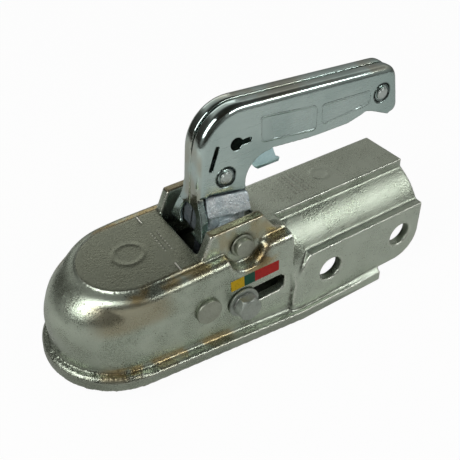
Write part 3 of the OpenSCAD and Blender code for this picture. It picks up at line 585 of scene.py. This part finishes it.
slot_of = {s["node"]: s["material_slot"] for s in frame["record"]["subparts"]}
for node_name, node_object in nodes.items():
    for material_slot in node_object.material_slots:
        material_slot.material = METALS[slot_of[node_name]]
    if not node_object.material_slots:
        node_object.data.materials.append(METALS[slot_of[node_name]])

body_of_node = {}
for body_name, members in frame["record"]["behaviour"]["bodies"].items():
    for member in members:
        body_of_node[member] = body_name

# Pieces that stand in for CAD nodes, with their edges rounded

MOST_TRIANGLES = 180000
WELD_DISTANCE = 1e-6
LEAST_SHARE = 0.02


def copy_of(node_name, piece_name):
    """A merged copy of a CAD node's mesh, as a new piece."""
    mesh = nodes[node_name].data.copy()
    obj = bpy.data.objects.new(piece_name, mesh)
    bpy.context.collection.objects.link(obj)
    bm = bmesh.new()
    bm.from_mesh(mesh)
    bmesh.ops.remove_doubles(bm, verts=bm.verts, dist=WELD_DISTANCE)
    bm.to_mesh(mesh)
    bm.free()
    return obj


def stand_in(obj, node_name):
    """Gives obj the finish, the slot and the body of a CAD node, and puts it in that node's place."""
    dress(obj, slot_of[node_name])
    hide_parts(node_name)
    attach(obj, body_of_node[node_name])


def relax_more(obj, share_at, rounds):
    """Smooths part of obj: share_at gives each place its share of the smoothing, in millimetres."""
    group = obj.vertex_groups.new(name="relax_more")
    for v in obj.data.vertices:
        share = share_at(v.co.x / MM, abs(v.co.y) / MM, v.co.z / MM)
        if share > LEAST_SHARE:
            group.add([v.index], share, "REPLACE")
    ease = obj.modifiers.new("ease", "SMOOTH")
    ease.factor = 0.5
    ease.iterations = rounds
    ease.vertex_group = "relax_more"
    apply_modifiers(obj)
    obj.vertex_groups.clear()


def soften(node_name, piece_name, voxel_mm, rounds, lift_at=None):
    """Stands in for a CAD node with its edges rounded off, as a casting or a pressing has them."""
    obj = copy_of(node_name, piece_name)
    if lift_at:
        for v in obj.data.vertices:
            v.co.z += lift_at(v.co.x / MM, v.co.z / MM) * MM
    remesh = obj.modifiers.new("skin", "REMESH")
    remesh.mode = "VOXEL"
    remesh.voxel_size = voxel_mm * MM
    relax = obj.modifiers.new("relax", "SMOOTH")
    relax.factor = 0.5
    relax.iterations = rounds
    apply_modifiers(obj)
    triangles = sum(len(p.vertices) - 2 for p in obj.data.polygons)
    if triangles > MOST_TRIANGLES:
        thin = obj.modifiers.new("thin", "DECIMATE")
        thin.ratio = MOST_TRIANGLES / triangles
        apply_modifiers(obj)
    pick(obj)
    bpy.ops.object.shade_smooth()
    stand_in(obj, node_name)
    return obj


def crisp(node_name, piece_name, width_mm, segments=2, smooth_angle=40, turn=0.0):
    """Stands in for a machined CAD node with small rounds on its edges.

    A turn in degrees turns it about the indicator bolt's own axis.
    """
    obj = copy_of(node_name, piece_name)
    if turn:
        centre = Matrix.Translation((BOLT_X * MM, 0.0, BOLT_Z * MM))
        obj.data.transform(centre @ Matrix.Rotation(math.radians(turn), 4, "Y") @ centre.inverted())
    flatten = obj.modifiers.new("flatten", "DECIMATE")
    flatten.decimate_type = "DISSOLVE"
    flatten.angle_limit = math.radians(1.0)
    edge = obj.modifiers.new("edge", "BEVEL")
    edge.width = width_mm * MM
    edge.segments = segments
    edge.limit_method = "ANGLE"
    edge.angle_limit = math.radians(35)
    apply_modifiers(obj)
    pick(obj)
    bpy.ops.object.shade_smooth_by_angle(angle=math.radians(smooth_angle))
    stand_in(obj, node_name)


def step(value, low, high):
    """A smooth step from 0 at low to 1 at high, which may lie below low."""
    t = min(max((value - low) / (high - low), 0.0), 1.0)
    return t * t * (3.0 - 2.0 * t)


def sole_height(x):
    """Height of the casting's underside at a place along it."""
    return SOLE_Z + SOLE_SLOPE * max(SOLE_REAR_X - x, 0.0)


def ledge_lift(x, z):
    """Lowers the flange's inner top line, so that its top is nearly level."""
    lowest, highest = 8.8, 11.0
    rear_x = 155.0
    drop = 3.0
    if lowest < z - sole_height(x) < highest and x < rear_x:
        return -drop
    return 0.0


def foot_share(x, side, z):
    """Where the casting has larger rounds: along the wall's foot."""
    above = z - sole_height(x)
    foot = step(above, 5.6, 6.6) * step(above, 11.0, 8.5) * step(x, 100.0, 92.0)
    return foot * step(z, 20.0, 10.0)


def nose_share(x, side, z):
    """Where the casting is smoothed most: under the top's rim at the nose, and round the pivot's seat."""
    nose = step(z, 10.0, 16.0) * step(z, 30.9, 29.9) * step(x, 24.0, 10.0)
    from_seat = math.hypot(x - 70.0, z - 26.0)
    return max(nose, step(from_seat, 16.0, 12.0) * step(side, 24.0, 27.0))


def grip_share(x, side, z):
    """Where the handle is smoothed most: its rear hook and the seam between its shells."""
    hook = step(x, 156.0, 162.0) * step(z, 74.0, 70.0)
    return max(hook, step(side, 3.6, 2.6) * step(z, 76.0, 80.0))


def fill_nose(obj):
    """Raises the dome to just under the edge of the flat top, all round the front."""
    rear_x, full_x = 20.0, 6.0
    lowest_z, highest_z = 6.0, 30.4
    axis_x, axis_reach = 8.0, 30.0
    rim_x, rim_radius = 13.2, 26.0
    wall_radius = 34.0
    spring_z, rise = 3.0, 27.2
    least_outward = 0.1
    least_width = 0.1
    fill = 0.88
    fade_start, fade_end = 0.8, 0.96
    normals = [v.normal.copy() for v in obj.data.vertices]
    for v, normal in zip(obj.data.vertices, normals):
        x = v.co.x / MM
        side = abs(v.co.y) / MM
        z = v.co.z / MM
        if x > rear_x or z < lowest_z or z > highest_z:
            continue
        outward = (normal.x * (x - axis_x) + normal.y * v.co.y / MM) / axis_reach + normal.z
        if outward < least_outward:
            continue
        from_rim = math.hypot(min(x - rim_x, 0.0), side) - rim_radius
        to_wall = wall_radius - math.hypot(min(x, 0.0), side)
        share = min(max(from_rim / max(from_rim + to_wall, least_width), 0.0), 1.0)
        lift = spring_z + rise * math.sqrt(1.0 - share * share) - z
        if lift > 0.0:
            v.co.z += lift * fill * step(x, rear_x, full_x) * step(share, fade_end, fade_start) * MM


cast_voxel, cast_rounds, foot_rounds, nose_rounds = 0.75, 5, 24, 90
sheet_voxel, sheet_rounds, grip_rounds = 0.42, 6, 60
lever_voxel, lever_rounds = 0.6, 4

casting = soften("coupling_body", "casting", cast_voxel, cast_rounds, lift_at=ledge_lift)
fill_nose(casting)
relax_more(casting, foot_share, foot_rounds)
relax_more(casting, nose_share, nose_rounds)
for hand in ("left", "right"):
    shell = soften("handle_shell_" + hand, "grip_shell_" + hand, sheet_voxel, sheet_rounds)
    relax_more(shell, grip_share, grip_rounds)
soften("lock_lever", "cast_lever", lever_voxel, lever_rounds)

crisp("indicator_bolt", "slot_bolt", 0.35, smooth_angle=14, turn=30.0)
crisp("indicator_washer", "slot_washer", 0.2)
crisp("spring_washer", "split_washer", 0.2)
crisp("jaw_pin", "jaw_pin_headed", 0.5)
crisp("handle_pivot_pin", "pivot_pin_headed", 0.5)
crisp("pivot_washer", "pivot_pin_washer", 0.25)
crisp("lever_rivet", "foot_rivet", 1.0, segments=4)
crisp("end_rivet", "tail_rivet", 1.0, segments=4)
crisp("safety_trigger", "trigger_plate", 0.3)
crisp("indicator_nut", "slot_nut", 0.3, smooth_angle=14)
crisp("rear_washer", "slot_washer_rear", 0.2)


def painted_shade_web():
    """Thin dark web between the two shells, a sheet of painted shade seen through the keyhole and the slot.
    """
    length, thickness, height = 0.0272, 0.0012, 0.019
    bpy.ops.mesh.primitive_cube_add(size=1.0)
    web = bpy.context.active_object
    web.name = "painted_shade_web"
    web.data.transform(Matrix.Diagonal((length, thickness, height, 1.0)))
    web.data.transform(Matrix.Translation((0.0754, 0.0, 0.0762)))
    dress(web, "jaw_iron")
    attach(web, "handle")


painted_shade_web()

# Surroundings

FLOOR_Z = -0.0321
FLOOR_PALE = rgb(0.74, 0.74, 0.73)
FLOOR_SHOWN_WHITE = 0.965
WHITE = rgb(1.0, 1.0, 1.0)
ROOM_BELOW = rgb(0.3, 0.3, 0.28)
ROOM_OVERHEAD = rgb(0.02, 0.019, 0.015)
ROOM_UNLIT = rgb(0.014, 0.010, 0.006)
# Tone of the room at heights from 0, straight down, to 1, straight up
ROOM_TONES = ((0.5, 0.12), (0.62, 0.22), (0.74, 0.33), (0.805, 0.55), (0.855, 0.18), (0.9, 0.045))
# Direction of each unlit corner, and how nearly a ray points there where it starts and ends to darken
ROOM_CORNERS = (((-0.45, -0.66, 0.60), 0.63, 0.86), ((-0.71, 0.67, 0.22), 0.72, 0.92))


def make_floor():
    """Pale floor under the flange, nearly white to the camera with a soft shadow."""
    bpy.ops.mesh.primitive_plane_add(size=8.0, location=(0.1, 0.0, FLOOR_Z))
    floor = bpy.context.active_object
    floor.name = "floor"
    material = bpy.data.materials.new("floor_white")
    material.use_nodes = True
    material.node_tree.nodes.clear()
    g = Graph(material.node_tree)
    out = g.add("ShaderNodeOutputMaterial")
    matt = g.add("ShaderNodeBsdfDiffuse")
    matt.inputs["Color"].default_value = FLOOR_PALE
    glow = g.add("ShaderNodeEmission")
    glow.inputs["Color"].default_value = WHITE
    glow.inputs["Strength"].default_value = 1.0
    path = g.add("ShaderNodeLightPath")
    blend = g.add("ShaderNodeMixShader")
    g.join(g.times(path.outputs["Is Camera Ray"], FLOOR_SHOWN_WHITE), blend.inputs[0])
    g.join(matt.outputs[0], blend.inputs[1])
    g.join(glow.outputs[0], blend.inputs[2])
    g.join(blend.outputs[0], out.inputs["Surface"])
    floor.data.materials.append(material)


def make_world():
    """Room round the object: pale at mid height, dark overhead and in two corners, white to the camera."""
    world = bpy.data.worlds.new("studio_room")
    world.use_nodes = True
    bpy.context.scene.world = world
    world.node_tree.nodes.clear()
    g = Graph(world.node_tree)
    out = g.add("ShaderNodeOutputWorld")
    coordinates = g.add("ShaderNodeTexCoord")
    direction = coordinates.outputs["Generated"]
    level = g.add("ShaderNodeValToRGB")
    ramp = level.color_ramp
    ramp.interpolation = "EASE"
    ramp.elements[0].position = 0.0
    ramp.elements[0].color = ROOM_BELOW
    ramp.elements[1].position = 1.0
    ramp.elements[1].color = ROOM_OVERHEAD
    for position, tone in ROOM_TONES:
        ramp.elements.new(position).color = rgb(tone, tone * 0.985, tone * 0.95)
    g.join(g.plus(g.times(g.axes(direction)[2], 0.5), 0.5), level.inputs["Fac"])
    room = level.outputs["Color"]
    for corner, near, far in ROOM_CORNERS:
        toward = g.add("ShaderNodeVectorMath", operation="DOT_PRODUCT")
        g.join(direction, toward.inputs[0])
        toward.inputs[1].default_value = corner
        room = g.tint(room, g.ramp(toward.outputs["Value"], near, far), 0.85, ROOM_UNLIT)
    path = g.add("ShaderNodeLightPath")
    seen = g.most(path.outputs["Is Camera Ray"], path.outputs["Is Transmission Ray"])
    background = g.add("ShaderNodeBackground")
    g.join(g.mix(seen, room, WHITE), background.inputs["Color"])
    background.inputs["Strength"].default_value = 1.0
    g.join(background.outputs[0], out.inputs["Surface"])


def add_softbox(name, place, width, height, power):
    """A soft rectangular lamp at a place, turned towards the middle of the coupling."""
    data = bpy.data.lights.new(name, "AREA")
    data.shape = "RECTANGLE"
    data.size = width
    data.size_y = height
    data.energy = power
    lamp = bpy.data.objects.new(name, data)
    bpy.context.collection.objects.link(lamp)
    lamp.location = place
    aim = Vector((0.08, 0.0, 0.02)) - Vector(place)
    lamp.rotation_euler = aim.to_track_quat("-Z", "Y").to_euler()


make_floor()
make_world()
add_softbox("lamp_right_high", (0.56, -0.66, 0.67), 0.72, 0.10, 2.8)
add_softbox("lamp_left", (-0.68, -0.06, 0.74), 0.46, 0.75, 6.0)
add_softbox("lamp_back", (0.25, 0.9, 0.55), 0.7, 0.25, 0.5)

bpy.context.scene.view_settings.view_transform = "Standard"
